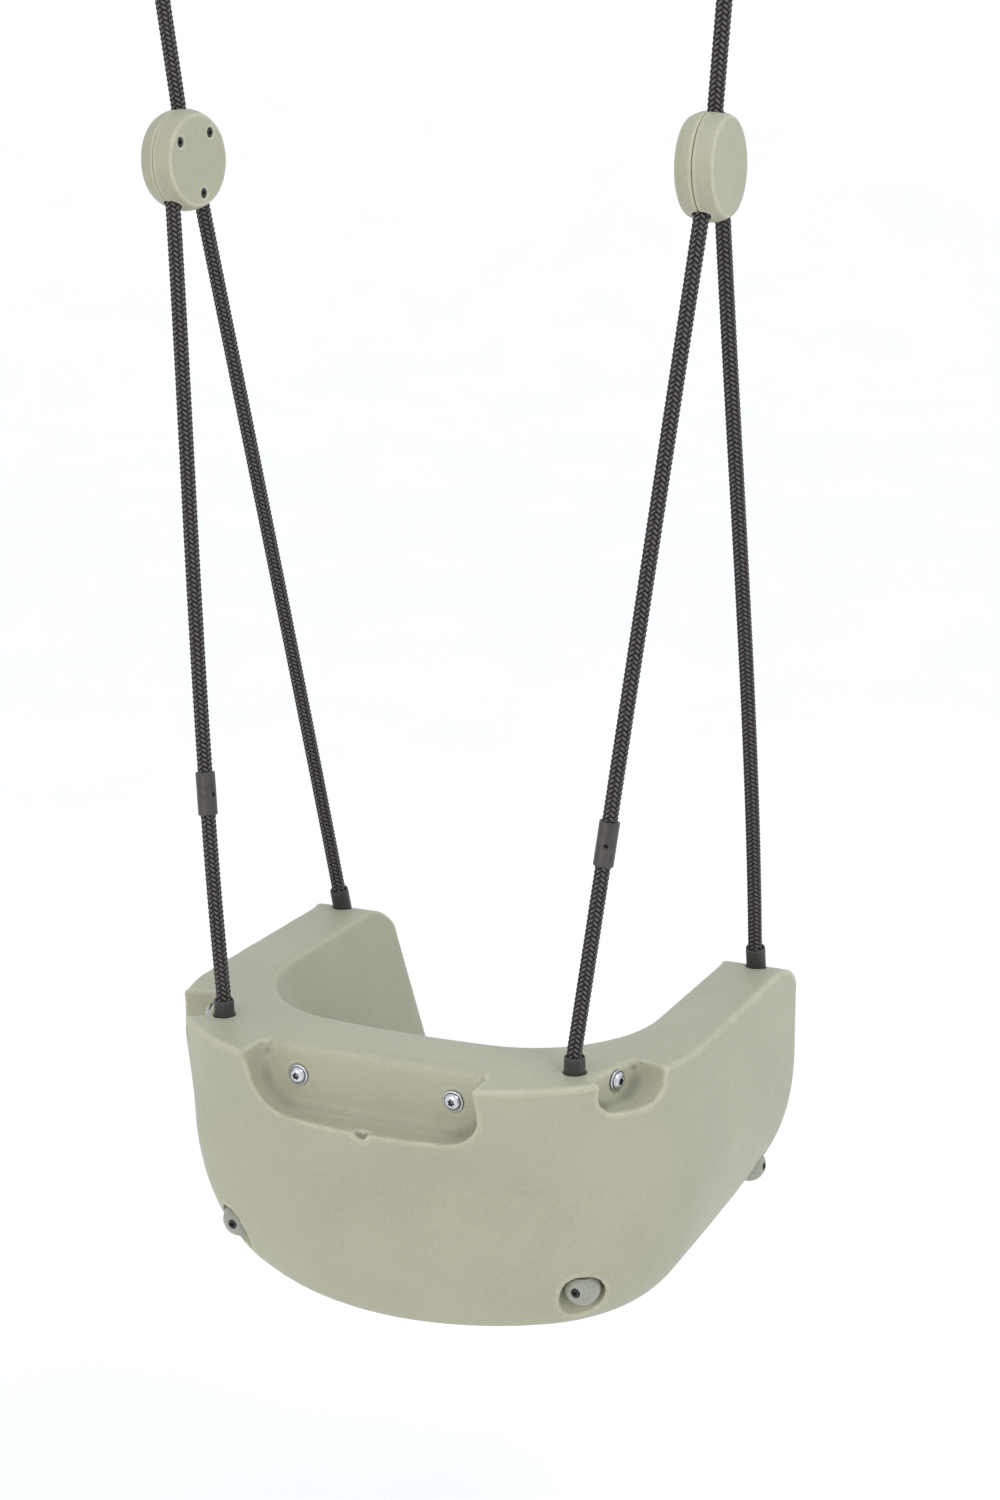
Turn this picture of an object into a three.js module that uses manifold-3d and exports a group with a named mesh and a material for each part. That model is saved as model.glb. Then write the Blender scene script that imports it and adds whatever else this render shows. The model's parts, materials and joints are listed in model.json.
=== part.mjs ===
// Toddler bucket swing: a hollow moulded seat on four braided ropes, gathered by two discs below the hangers.
// Millimetres, +Z up, +Y towards the open front of the seat.
// The origin lies midway between the tops of the hangers.
import * as THREE from "three";
import { mergeVertices } from "three/addons/utils/BufferGeometryUtils.js";
import Module from "manifold-3d";

const wasm = await Module();
wasm.setup();

// ---- driving dimensions ----
const GAP = 0.3; // between pieces that touch
const ROPE_D = 12;
const ROPE_BORE_D = 12.8;
const ROPE_SIDES = 8;

const PIVOT_Z = -48; // hanger pin, below the hanger's top face
const PIVOT_X = 249;
const DISC_X = 236;
const DISC_Y = 5;
const DISC_Z = PIVOT_Z - 210;
const DISC_D = 85;
const DISC_T = 32;
const SEAT_DROP = 715; // disc centre down to the seat's top face
const SEAT_Z = DISC_Z - SEAT_DROP;
const SEAT_Y = 48; // the seat's own middle, forward of the discs
const HANG_TILT_DEG = -2.04; // turns all that hangs about the hanger pins until it balances below them

// Seat shell, in the seat's own frame: z is 0 at the top face and x is 0 in the middle.
const WALL = 6;
const SEAT_FRONT_Y = 195;
const BACK_DEPTH = 243; // top face to the underside, at the back
const FRONT_DEPTH = 217; // the same at the front
const OUTER = { halfWidth: 240, backRadius: 300, backCentreY: 60, cornerRadius: 165, frontRadius: 14 };
const BACK_LEAN = { shift: 46, depth: 106 };
const LOWER_ROUND = { back: 27, sideAtBack: 82, sideAtFront: 60, height: 130 };
const FRONT_ROUND = { inset: 50, height: 85 };
const BELLY = 9; // how far the middle of the underside bulges below its rim
const TOP_EDGE_R = 3;
const WING_TIP_R = 52;

const BOWL = { halfWidth: 178, backRadius: 900, backY: -119, cornerRadius: 112 };
const BOWL_DEPTH = 188;
const BOWL_TAPER = 0.29;
const BOWL_RIM_R = 5;
const BOWL_FLOOR_R = 48;
const WING_EDGE_R = 14;

// Where each rope enters the seat's top face, how its ferrule stands there and where its stopper hangs below.
const ENTRIES = {
  back: {
    x: 165,
    y: -148,
    ferruleUp: 14,
    upright: true,
    straight: [18, -16],
    stopper: [165, -134, -197],
    pocketAxis: [0.15, -0.45, -0.88], // out of the wall as it goes down
  },
  front: {
    x: 212,
    y: 152,
    ferruleUp: 20,
    upright: false,
    straight: [26, -26],
    stopper: [208, 151, -194],
    pocketAxis: [0, 0, -1],
  },
};
const ROPE_BOW = { outward: 4, endward: 9 }; // how far each branch rope's curve leaves its straight line
const FERRULE = { outerD: 18, boreD: 14.4, seatD: 19.2, sunk: 11, lip: 2 };
const ROPE_TUNNEL_D = 16;

// Ball stoppers on the rope ends, in pockets under the seat.
const STOPPER_D = 32;
const STOPPER_FLAT = 12; // the flat that bears on the pocket's ceiling, above the ball's centre
const POCKET_D = 38;
const POCKET_CLEARANCE = 1.2; // above the stopper's flat, which leans with the rope
const STOPPER_SCREW = { headD: 8, headT: 2.4, shankD: 4 };

// Recesses in the outer wall: one wide across the back, one small behind each back corner.
const BACK_RECESS = { halfWidth: 105, depth: 57, wallY: -184, cornerR: 22, filletR: 9, topR: 9 };
const SIDE_RECESS = {
  length: 61,
  depth: 30,
  cornerR: 13,
  filletR: 7,
  topR: 5,
  x: 190,
  y: -131,
  turn: -15.5,
};
const DRAIN_NOTCH_D = 13;
const BOLT = { x: 72.5, z: -27.5, sideAlong: 7, sideZ: -12 };
const BOLT_HEAD = {
  flangeD: 18.6,
  flangeT: 1.8,
  domeD: 14.5,
  domeH: 4.4,
  shankD: 8,
  shankL: 15,
  socketD: 5.4,
};
const INSERT = { outerD: 14, boreD: 8.7, length: 20 };

// Rope sleeves on the two back ropes, each with a small hole that faces the given way.
const SLEEVE = { outerD: 17, length: 37, aboveSeat: 191, holeD: 4 };
const SLEEVE_HOLE_FACES = { left: [0.965, -0.26], right: [0.37, -0.93] };

// Hangers and rope eyes.
const HANGER = {
  plateX: 62,
  plateY: 96,
  plateT: 6,
  cheekGap: 20,
  cheekT: 5,
  cheekHalfY: 19,
  boltY: 33,
  boltD: 11,
};
const PIN = { shankD: 12, headD: 21, headT: 7, over: 15 };
const NUT = { acrossFlats: 19, thickness: 10 };
const EYE = { ringD: 36, ringT: 14, neckD: 19, neckL: 62, socketTop: 26 };
const BUSH = { outerD: 18, length: 19 };

// Discs.
const DISC = { faceD: 75, faceEdge: 0.8, ropeHoleD: 15, cavity: [22, 56, 44] };
const LEFT_DISC_YAW_DEG = -6.3;
const DISC_SCREW = { circleR: 28, places: [52, 146, 282], headD: 8.2, headT: 2.6, shankD: 4, length: 21 };
const JUNCTION = { thickness: 21, topHalfY: 12, topZ: 18, waistZ: -4, bottomZ: -21, socketDepth: 13 };
const JUNCTION_Y = { waist: [-23, 28], bottom: [-24, 30] };
const MAIN_ROPE_X = DISC_X + 3; // where the main rope enters the disc
const ROPE_EXITS = { back: -20, front: 26, below: 37 }; // where the branch ropes leave the disc's rim

// How finely the seat's skin and the hollow behind it are faceted.
const SKIN = {
  backArc: 7,
  cornerArc: 13,
  tipArc: 5,
  sideY: [20, 95],
  topShares: [0, 0.002, 0.006, 0.013, 0.22, 0.44],
  lowerRings: 11,
  rimRings: 5,
  floorRings: 8,
  trayArc: 8,
  trayBevel: 5,
  round: 28,
};
const HOLLOW = {
  backArc: 3,
  cornerArc: 4,
  tipArc: 2,
  sideY: [60],
  topShares: [0, 0.25, 0.44],
  lowerRings: 4,
  rimRings: 1,
  floorRings: 3,
  trayArc: 2,
  trayBevel: 1,
  round: 10,
};

// ---- materials ----
const material = (color, roughness, metalness) =>
  new THREE.MeshStandardMaterial({ color, roughness, metalness });
const SAGE = material(0xa9ab97, 0.75, 0);
const CAP_SAGE = material(0x8f9485, 0.45, 0);
const BRAID = material(0x2c2928, 0.9, 0);
const BLACK_PLASTIC = material(0x272524, 0.5, 0);
const DARK_METAL = material(0x55524f, 0.45, 0.8);
const ZINC = material(0xc9ccd0, 0.25, 1);
const BLACK_STEEL = material(0x1d1c1e, 0.4, 0.8);
const BRASS = material(0xb08d4a, 0.35, 1);
const ALUMINIUM = material(0x9b9da0, 0.45, 0.9);
const NYLON = material(0xe4e2da, 0.5, 0);

// ---- solids ----
function solidFrom(geometry) {
  const bare = geometry.index ? geometry.clone() : geometry;
  bare.deleteAttribute("normal");
  bare.deleteAttribute("uv");
  const merged = mergeVertices(bare, 1e-4);
  const vertProperties = new Float32Array(merged.attributes.position.array);
  const triVerts = new Uint32Array(merged.index.array);
  return new wasm.Manifold(new wasm.Mesh({ numProp: 3, vertProperties, triVerts }));
}

function geometryFrom(solid) {
  const mesh = solid.getMesh();
  const geometry = new THREE.BufferGeometry();
  geometry.setAttribute("position", new THREE.BufferAttribute(mesh.vertProperties, 3));
  geometry.setIndex(new THREE.BufferAttribute(mesh.triVerts, 1));
  return geometry;
}

const cut = (solid, tools) => tools.reduce((left, tool) => left.subtract(tool), solid);
const join = (first, ...rest) => rest.reduce((whole, next) => whole.add(next), first);
const at = (x, y, z) => new THREE.Vector3(x, y, z);
const UP = at(0, 0, 1);

// A round bar from one point to another.
function barGeometry(from, to, diameter, sides = 12) {
  const along = to.clone().sub(from);
  const geometry = new THREE.CylinderGeometry(diameter / 2, diameter / 2, along.length(), sides);
  const turn = new THREE.Quaternion().setFromUnitVectors(at(0, 1, 0), along.clone().normalize());
  return geometry.applyQuaternion(turn).translate(...from.clone().addScaledVector(along, 0.5).toArray());
}
const bar = (from, to, diameter, sides) => solidFrom(barGeometry(from, to, diameter, sides));

// A turned piece whose axis runs from base along direction; profile is a list of [radius, height] pairs.
function turnedGeometry(profile, base, direction, sides = 12) {
  const outline = profile.map(([r, h]) => new THREE.Vector2(r, h));
  const geometry = new THREE.LatheGeometry(outline, sides);
  const turn = new THREE.Quaternion().setFromUnitVectors(at(0, 1, 0), direction.clone().normalize());
  return geometry.applyQuaternion(turn).translate(...base.toArray());
}
const turned = (...shape) => solidFrom(turnedGeometry(...shape));

// Closed skin through rings of equal length that run anticlockwise seen from above, from the top ring down.
function loft(rings) {
  const count = rings[0].length;
  const positions = rings.flat().flatMap((p) => p.toArray());
  const faces = [];
  for (let ring = 0; ring + 1 < rings.length; ring++)
    for (let i = 0; i < count; i++) {
      const next = (i + 1) % count;
      const [a, b, c, d] = [i, next, next + count, i + count].map((k) => k + ring * count);
      faces.push(a, d, c, a, c, b);
    }
  for (const [ring, facesUp] of [[0, true], [rings.length - 1, false]]) {
    const centre = rings[ring].reduce((sum, p) => sum.add(p), at(0, 0, 0)).divideScalar(count);
    const hub = positions.length / 3;
    positions.push(...centre.toArray());
    for (let i = 0; i < count; i++) {
      const [a, b] = [i + ring * count, ((i + 1) % count) + ring * count];
      faces.push(...(facesUp ? [a, b, hub] : [b, a, hub]));
    }
  }
  const geometry = new THREE.BufferGeometry();
  geometry.setAttribute("position", new THREE.Float32BufferAttribute(positions, 3));
  geometry.setIndex(faces);
  return solidFrom(geometry);
}

// ---- seat shell ----
const smoothDrop = (t) => 1 - Math.sqrt(Math.max(0, 1 - t * t)); // quarter circle, 0 to 1

// Right half of a D-shaped plan from the middle of the back to the front, as points with the way each faces.
function halfPlan({ halfWidth, backRadius, backCentreY, cornerRadius }, backSteps, cornerSteps) {
  const cornerX = halfWidth - cornerRadius;
  const cornerY = backCentreY - Math.sqrt((backRadius - cornerRadius) ** 2 - cornerX ** 2);
  const joinAngle = Math.atan2(cornerX, backCentreY - cornerY);
  const plan = [];
  const arc = (cx, cy, radius, from, to, steps) => {
    for (let i = 1; i <= steps; i++) {
      const angle = from + ((to - from) * i) / steps;
      const facing = new THREE.Vector2(Math.sin(angle), -Math.cos(angle));
      plan.push({ x: cx + radius * facing.x, y: cy + radius * facing.y, facing });
    }
  };
  arc(0, backCentreY, backRadius, 0, joinAngle, backSteps);
  arc(cornerX, cornerY, cornerRadius, joinAngle, Math.PI / 2, cornerSteps);
  return plan;
}

// Mirrors a half plan, which starts just right of the back's middle, into a full ring.
function fullPlan(half, backPoint) {
  const mirrored = half.map((p) => ({ ...p, x: -p.x, facing: new THREE.Vector2(-p.facing.x, p.facing.y) }));
  return [backPoint, ...half, ...mirrored.reverse()];
}

function outerPlan({ backArc, cornerArc, tipArc, sideY }) {
  const half = halfPlan(OUTER, backArc, cornerArc);
  const { halfWidth, frontRadius } = OUTER;
  const sideways = new THREE.Vector2(1, 0);
  for (const y of sideY) half.push({ x: halfWidth, y, facing: sideways });
  for (let i = 0; i <= tipArc; i++) {
    const angle = (i / tipArc) * (Math.PI / 2);
    const facing = new THREE.Vector2(Math.cos(angle), Math.sin(angle));
    const [x, y] = [halfWidth - frontRadius * (1 - facing.x), SEAT_FRONT_Y - frontRadius * (1 - facing.y)];
    half.push({ x, y, facing, atFront: true });
  }
  half.push({ x: 100, y: SEAT_FRONT_Y, facing: new THREE.Vector2(0, 1), atFront: true });
  const backY = OUTER.backCentreY - OUTER.backRadius;
  return fullPlan(half, { x: 0, y: backY, facing: new THREE.Vector2(0, -1) });
}

// How far a point of the plan moves in at a depth; forward is 0 at the back and 1 at the front. The back and
// the sides move against the way they face. The front end moves square on, so its corners don't fold over.
function wallShift({ x, facing, atFront }, forward, depth, fullDepth) {
  const { back: backRound, sideAtBack, sideAtFront, height } = LOWER_ROUND;
  const roundOver = (roundHeight) => smoothDrop(Math.max(0, (depth - fullDepth + roundHeight) / roundHeight));
  const sideInset = (sideAtBack + (sideAtFront - sideAtBack) * forward) * roundOver(height);
  const edge = TOP_EDGE_R * smoothDrop(Math.max(0, 1 - depth / TOP_EDGE_R));
  if (atFront) {
    const square = new THREE.Vector2(sideInset * Math.sign(x) * (x / OUTER.halfWidth) ** 2, 0);
    square.y = FRONT_ROUND.inset * roundOver(FRONT_ROUND.height);
    return square.addScaledVector(facing, edge);
  }
  const back = Math.max(0, -facing.y) ** 2;
  const lean = BACK_LEAN.shift * Math.min(1, depth / BACK_LEAN.depth);
  const inset = back * (lean + backRound * roundOver(height)) + (1 - back) * sideInset + edge;
  return facing.clone().multiplyScalar(inset);
}

// The seat's outer block with its bottom round, drawn in by offset on every side.
function outerBlock(offset, detail) {
  const plan = outerPlan(detail);
  const span = SEAT_FRONT_Y - (OUTER.backCentreY - OUTER.backRadius);
  const shares = [...detail.topShares];
  const straight = shares.at(-1);
  for (let i = 1; i <= detail.lowerRings; i++)
    shares.push(straight + (1 - straight) * Math.sin((i / detail.lowerRings) * (Math.PI / 2)));
  const rings = shares.map((share) =>
    plan.map((point) => {
      const { x, y, facing } = point;
      const forward = (y + span - SEAT_FRONT_Y) / span;
      const fullDepth = BACK_DEPTH - (BACK_DEPTH - FRONT_DEPTH) * forward ** 2;
      const depth = share * fullDepth;
      const shift = wallShift(point, forward, depth, fullDepth).addScaledVector(facing, offset);
      return at(x - shift.x, y - shift.y, -offset - share * (fullDepth - 2 * offset));
    }),
  );
  const rim = rings.at(-1);
  for (const shrink of [0.66, 0.33]) {
    const belly = BELLY * (1 - shrink * shrink);
    rings.push(rim.map((p) => at(p.x * shrink, (p.y + 30) * shrink - 30, p.z - belly)));
  }
  return loft(rings);
}

// The bowl the child sits in, open at the top and at the front, grown by offset.
function bowlSpace(offset, { cornerArc, tipArc, rimRings, floorRings }) {
  const { halfWidth, backRadius, backY, cornerRadius } = BOWL;
  const plan = { halfWidth, backRadius, backCentreY: backY + backRadius, cornerRadius };
  const half = halfPlan(plan, 2, cornerArc);
  const sideways = new THREE.Vector2(1, 0);
  const edgeCentreY = SEAT_FRONT_Y - WING_EDGE_R;
  half.push({ x: halfWidth, y: 80, facing: sideways });
  for (let i = 0; i <= tipArc; i++) {
    const angle = (i / tipArc) * (Math.PI / 2);
    const x = halfWidth + WING_EDGE_R * (1 - Math.cos(angle));
    half.push({ x, y: edgeCentreY + WING_EDGE_R * Math.sin(angle), facing: sideways });
  }
  half.push({ x: halfWidth + WING_EDGE_R, y: SEAT_FRONT_Y + 40, facing: sideways });
  const ring = fullPlan(half, { x: 0, y: backY, facing: new THREE.Vector2(0, -1) });

  const levels = [{ depth: -10, inset: -BOWL_RIM_R }];
  for (let i = 0; i <= rimRings; i++) {
    const angle = (i / rimRings) * (Math.PI / 2);
    levels.push({ depth: BOWL_RIM_R * (1 - Math.cos(angle)), inset: -BOWL_RIM_R * (1 - Math.sin(angle)) });
  }
  const straightEnd = BOWL_DEPTH - BOWL_FLOOR_R;
  for (let i = 0; i <= floorRings; i++) {
    const t = Math.sin((i / floorRings) * (Math.PI / 2));
    const depth = straightEnd + BOWL_FLOOR_R * t;
    levels.push({ depth, inset: BOWL_TAPER * (depth - BOWL_RIM_R) + BOWL_FLOOR_R * 0.8 * smoothDrop(t) });
  }
  const rings = levels.map(({ depth, inset }) =>
    ring.map(({ x, y, facing }) => {
      const inward = inset - offset;
      return at(x - facing.x * inward, y - facing.y * inward, -depth - (depth > 0 ? offset : 0));
    }),
  );
  return loft(rings);
}

// A tray cut into the wall from outside: open above, round at its lower corners and along its back edges.
function trayCut({ halfWidth, depth, cornerR, filletR }, reach, offset, { trayArc, trayBevel }) {
  const [w, d, r] = [halfWidth + offset - filletR, depth + offset - filletR, cornerR];
  const outline = new THREE.Shape();
  outline.moveTo(w + 2, 40).lineTo(-w - 2, 40).lineTo(-w, -d + r);
  outline.absarc(-w + r, -d + r, r, Math.PI, 1.5 * Math.PI, false);
  outline.absarc(w - r, -d + r, r, 1.5 * Math.PI, 2 * Math.PI, false);
  const bevel = { bevelSize: filletR, bevelThickness: filletR, bevelSegments: trayBevel };
  const options = { depth: reach, curveSegments: trayArc, ...bevel };
  return new THREE.ExtrudeGeometry(outline, options).translate(0, 0, filletR - offset);
}

// The sliver that rounds a straight top edge: the edge runs along x, and z points out of the wall below it.
function edgeRounding(halfLength, radius) {
  const sliver = new THREE.Shape();
  sliver.moveTo(1, -radius).lineTo(1, 1).lineTo(-radius, 1).lineTo(-radius, 0);
  sliver.absarc(-radius, -radius, radius, Math.PI / 2, 0, true);
  const options = { depth: 2 * halfLength, curveSegments: 7, bevelEnabled: false };
  const alongX = new THREE.Matrix4().makeBasis(at(0, 0, 1), at(0, 1, 0), at(-1, 0, 0));
  return new THREE.ExtrudeGeometry(sliver, options).applyMatrix4(alongX).translate(halfLength, 0, 0);
}

// Rounds the top of both wings down to their front ends.
function wingTipRounding(offset) {
  const facingFront = new THREE.Matrix4().makeBasis(at(-1, 0, 0), UP, at(0, 1, 0));
  facingFront.setPosition(0, SEAT_FRONT_Y - offset, -offset);
  return solidFrom(edgeRounding(OUTER.halfWidth + 10, WING_TIP_R - offset).applyMatrix4(facingFront));
}

// A tray and the rounding of its top edge, placed in the seat by matrix; the hollow behind has no rounding.
function recess(tray, reach, matrix, offset, detail) {
  const shapes = [trayCut(tray, reach, offset, detail)];
  if (offset === 0) shapes.push(edgeRounding(tray.halfWidth - tray.filletR / 2, tray.topR));
  return join(...shapes.map((geometry) => solidFrom(geometry.applyMatrix4(matrix))));
}

function backRecess(offset, detail) {
  const matrix = new THREE.Matrix4().makeRotationX(Math.PI / 2).setPosition(0, BACK_RECESS.wallY, 0);
  return recess(BACK_RECESS, 110, matrix, offset, detail);
}

// The frame of a side recess: out points away from its back wall, along points forward in that wall.
function sideRecessFrame(side) {
  const turn = THREE.MathUtils.degToRad(SIDE_RECESS.turn);
  const out = at(side * Math.cos(turn), Math.sin(turn), 0);
  const along = at(-side * Math.sin(turn), Math.cos(turn), 0);
  return { out, along, middle: at(side * SIDE_RECESS.x, SIDE_RECESS.y, 0) };
}

function sideRecess(side, offset, detail) {
  const tray = { ...SIDE_RECESS, halfWidth: SIDE_RECESS.length / 2 };
  const { out, along, middle } = sideRecessFrame(side);
  const sideways = along.clone().multiplyScalar(side);
  const matrix = new THREE.Matrix4().makeBasis(sideways, UP, out).setPosition(middle);
  return recess(tray, 70, matrix, offset, detail);
}

// The bolts' seats: each a point on a recess's back wall and the way its bolt faces.
const boltSeats = [-1, 1].flatMap((side) => {
  const { out, along, middle } = sideRecessFrame(side);
  const sidePoint = middle.clone().addScaledVector(along, BOLT.sideAlong).setZ(BOLT.sideZ);
  const name = side < 0 ? "left" : "right";
  const backPoint = at(side * BOLT.x, BACK_RECESS.wallY, BOLT.z);
  return [
    { name: `back_recess_bolt_${name}`, insert: `back_insert_${name}`, point: backPoint, out: at(0, -1, 0) },
    { name: `side_recess_bolt_${name}`, insert: `side_insert_${name}`, point: sidePoint, out },
  ];
});

// One rope's way through the seat, in the seat's frame: its entry, its bends from the top down, its stopper.
function ropeWay(side, end) {
  const { x, y, ferruleUp, upright, straight, stopper, pocketAxis } = ENTRIES[end];
  const entry = at(side * x, y, 0);
  const discExit = at(side * DISC_X, DISC_Y + ROPE_EXITS[end] - SEAT_Y, SEAT_DROP - ROPE_EXITS.below);
  const start = upright ? entry.clone().setZ(straight[0]) : entry;
  const climb = discExit.clone().sub(start).normalize();
  const ferruleAxis = upright ? UP : climb;
  const bends = straight.map((z) => entry.clone().addScaledVector(ferruleAxis, z / ferruleAxis.z));
  const centre = at(side * stopper[0], stopper[1], stopper[2]);
  const tail = bends[1].clone().sub(centre).normalize();
  const opening = at(side * pocketAxis[0], pocketAxis[1], pocketAxis[2]);
  return { entry, discExit, climb, bends, centre, tail, opening, ferruleAxis, ferruleUp };
}

const SIDES = { left: -1, right: 1 };
const ENDS = ["back", "front"];
const ropeWays = Object.entries(SIDES).flatMap(([name, side]) =>
  ENDS.map((end) => ({ name, side, end, ...ropeWay(side, end) })),
);

// A stopper's pocket: domed about the stopper's middle, flat above it, and open along its axis.
function stopperPocket(centre, opening, offset, sides) {
  const radius = POCKET_D / 2 + offset;
  const profile = [[0, -radius]];
  const domeSteps = 6;
  for (let i = 1; i <= domeSteps; i++) {
    const angle = (i / domeSteps - 1) * (Math.PI / 2);
    profile.push([radius * Math.cos(angle), radius * Math.sin(angle)]);
  }
  profile.push([radius, 90], [0, 90]);
  const ceilingZ = centre.z + STOPPER_FLAT + POCKET_CLEARANCE + offset;
  return turned(profile, centre, opening, sides).trimByPlane([0, 0, -1], -ceilingZ);
}

// Tunnels, ferrule seats and stopper pockets for the ropes, grown by offset.
function ropeCuts(offset, { round }) {
  return ropeWays.flatMap(({ bends, entry, ferruleAxis, centre, tail, opening }) => {
    const tunnelD = ROPE_TUNNEL_D + 2 * offset;
    const throat = bends[1];
    const seat = entry.clone().addScaledVector(ferruleAxis, -FERRULE.sunk - GAP - offset);
    const mouth = entry.clone().addScaledVector(ferruleAxis, 20);
    return [
      bar(throat.clone().addScaledVector(tail, 6), centre, tunnelD, 10),
      bar(throat.clone().lerp(entry, -0.4), entry, tunnelD, 10),
      bar(seat, mouth, FERRULE.seatD + 2 * offset, 16),
      stopperPocket(centre, opening, offset, round),
    ];
  });
}

function insertCuts(offset) {
  return boltSeats.map(({ point, out }) => {
    const floor = point.clone().addScaledVector(out, -INSERT.length - 3 * GAP - offset);
    return bar(floor, point.clone().addScaledVector(out, 4), INSERT.outerD + 2 * (GAP + offset), 10);
  });
}

// Everything that is taken out of the seat's outer block.
function seatCuts(offset, detail) {
  const sideRecesses = [-1, 1].map((side) => sideRecess(side, offset, detail));
  const openings = [bowlSpace(offset, detail), wingTipRounding(offset), backRecess(offset, detail)];
  return [...openings, ...sideRecesses, ...ropeCuts(offset, detail), ...insertCuts(offset)];
}

function seatShell() {
  const notchZ = -BACK_RECESS.depth;
  const notch = bar(at(0, -300, notchZ), at(0, -207, notchZ), DRAIN_NOTCH_D, 12);
  const skin = cut(outerBlock(0, SKIN), [...seatCuts(0, SKIN), notch]);
  const rooms = cut(outerBlock(WALL, HOLLOW), seatCuts(WALL, HOLLOW)).decompose();
  const [hollow] = rooms.sort((a, b) => b.volume() - a.volume()); // slivers cut off by the pockets stay solid
  const vent = bar(at(0, -20, -300), at(0, -20, -BOWL_DEPTH - 2 * WALL), 8, 8);
  return cut(skin, [hollow, vent]);
}

// ---- the part ----
const swing = new THREE.Group();
const pinLine = new THREE.Group();
const hung = new THREE.Group();
const seat = new THREE.Group();
pinLine.position.z = PIVOT_Z;
pinLine.rotation.x = THREE.MathUtils.degToRad(HANG_TILT_DEG);
hung.position.z = -PIVOT_Z;
seat.position.set(0, SEAT_Y, SEAT_Z);
swing.add(pinLine.add(hung.add(seat)));

function addPiece(parent, name, shape, look) {
  const geometry = shape.isBufferGeometry ? shape : geometryFrom(shape);
  const mesh = new THREE.Mesh(geometry, look);
  mesh.name = name;
  parent.add(mesh);
}

addPiece(seat, "seat_shell", seatShell(), SAGE);

// A rope along a path of curves.
function ropeGeometry(curves, steps) {
  const path = new THREE.CurvePath();
  for (const curve of curves) path.add(curve);
  const section = new THREE.Shape();
  for (let i = 0; i < ROPE_SIDES; i++) {
    const angle = (i / ROPE_SIDES) * 2 * Math.PI;
    const [x, y] = [(ROPE_D / 2) * Math.cos(angle), (ROPE_D / 2) * Math.sin(angle)];
    if (i === 0) section.moveTo(x, y);
    else section.lineTo(x, y);
  }
  return new THREE.ExtrudeGeometry(section, { steps, extrudePath: path });
}

// Straight runs through the points, with a short bend of the given reach at each inner one.
function bentRuns(points, reach) {
  const curves = [];
  let from = points[0];
  for (let i = 1; i + 1 < points.length; i++) {
    const bend = points[i];
    const [before, after] = [points[i - 1], points[i + 1]].map((other) =>
      bend.clone().addScaledVector(other.clone().sub(bend).normalize(), reach),
    );
    curves.push(new THREE.LineCurve3(from, before), new THREE.QuadraticBezierCurve3(before, bend, after));
    from = after;
  }
  return [...curves, new THREE.LineCurve3(from, points.at(-1))];
}

// A branch rope's slightly bowed run from the disc down to its first bend.
function bowedRun(top, bottom, side, end) {
  const bow = at(side * ROPE_BOW.outward, end === "back" ? -ROPE_BOW.endward : ROPE_BOW.endward, 0);
  const [upper, lower] = [1 / 3, 2 / 3].map((share) => top.clone().lerp(bottom, share));
  return new THREE.CubicBezierCurve3(top, upper, lower.add(bow), bottom);
}

// A branch rope's ferrule, sunk in the seat's top face about the rope.
function ferrule({ entry, ferruleAxis, ferruleUp }) {
  const { outerD, boreD, sunk, lip } = FERRULE;
  const [outer, bore, height] = [outerD / 2, boreD / 2, sunk + ferruleUp];
  const profile = [
    [bore, 0],
    [outer, 0],
    [outer, height - lip],
    [outer - lip * 0.3, height - lip * 0.3],
    [outer - lip * 0.9, height],
    [bore + 0.2, height],
    [bore, 0],
  ];
  return turnedGeometry(profile, entry.clone().addScaledVector(ferruleAxis, -sunk), ferruleAxis, 14);
}

// A metal sleeve about a back rope's free run; share is its place from the run's top, 0, to its bottom, 1.
function ropeSleeve(name, run, share) {
  const [middle, axis] = [run.getPoint(share), run.getTangent(share)];
  const from = (distance) => middle.clone().addScaledVector(axis, distance);
  const [half, boreHalf] = [SLEEVE.length / 2, SLEEVE.length / 2 + 5];
  const facing = at(...SLEEVE_HOLE_FACES[name], 0);
  const [inside, outside] = [4, 20].map((distance) => middle.clone().addScaledVector(facing, distance));
  const bore = bar(from(-boreHalf), from(boreHalf), ROPE_BORE_D + 0.4, 12);
  return cut(bar(from(-half), from(half), SLEEVE.outerD, 16), [bore, bar(inside, outside, SLEEVE.holeD, 8)]);
}

// A ball stopper, its flat towards the rope, and the screw that clamps the rope in it.
function stopperAndScrew({ side, end, centre, tail }) {
  const out = end === "back" ? at(0, -1, 0) : at(side, 0, 0);
  const outward = (distance) => centre.clone().addScaledVector(out, distance);
  const radius = STOPPER_D / 2;
  const flatAngle = Math.asin(STOPPER_FLAT / radius);
  const steps = 8;
  const ball = [[0, -radius]];
  for (let i = 1; i <= steps; i++) {
    const angle = -Math.PI / 2 + ((flatAngle + Math.PI / 2) * i) / steps;
    ball.push([radius * Math.cos(angle), radius * Math.sin(angle)]);
  }
  ball.push([0, STOPPER_FLAT]);
  const alongRope = (distance) => centre.clone().addScaledVector(tail, distance);
  const { headD, headT, shankD } = STOPPER_SCREW;
  const headBase = radius - headT - 0.6;
  const holes = [
    bar(alongRope(-ROPE_D / 2 - GAP), alongRope(20), ROPE_BORE_D, 10),
    bar(outward(headBase - GAP), outward(20), headD + 0.6, 12),
    bar(outward(3), outward(headBase), shankD + 0.6, 8),
  ];
  const head = bar(outward(headBase), outward(headBase + headT), headD, 12);
  const shank = bar(outward(ROPE_D / 2 + 0.6), outward(headBase + 0.5), shankD, 8);
  const drive = bar(outward(headBase + headT - 1.2), outward(headBase + headT + 3), 3.2, 6);
  return [cut(turned(ball, centre, tail, 20), holes), join(head, shank).subtract(drive)];
}

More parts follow.
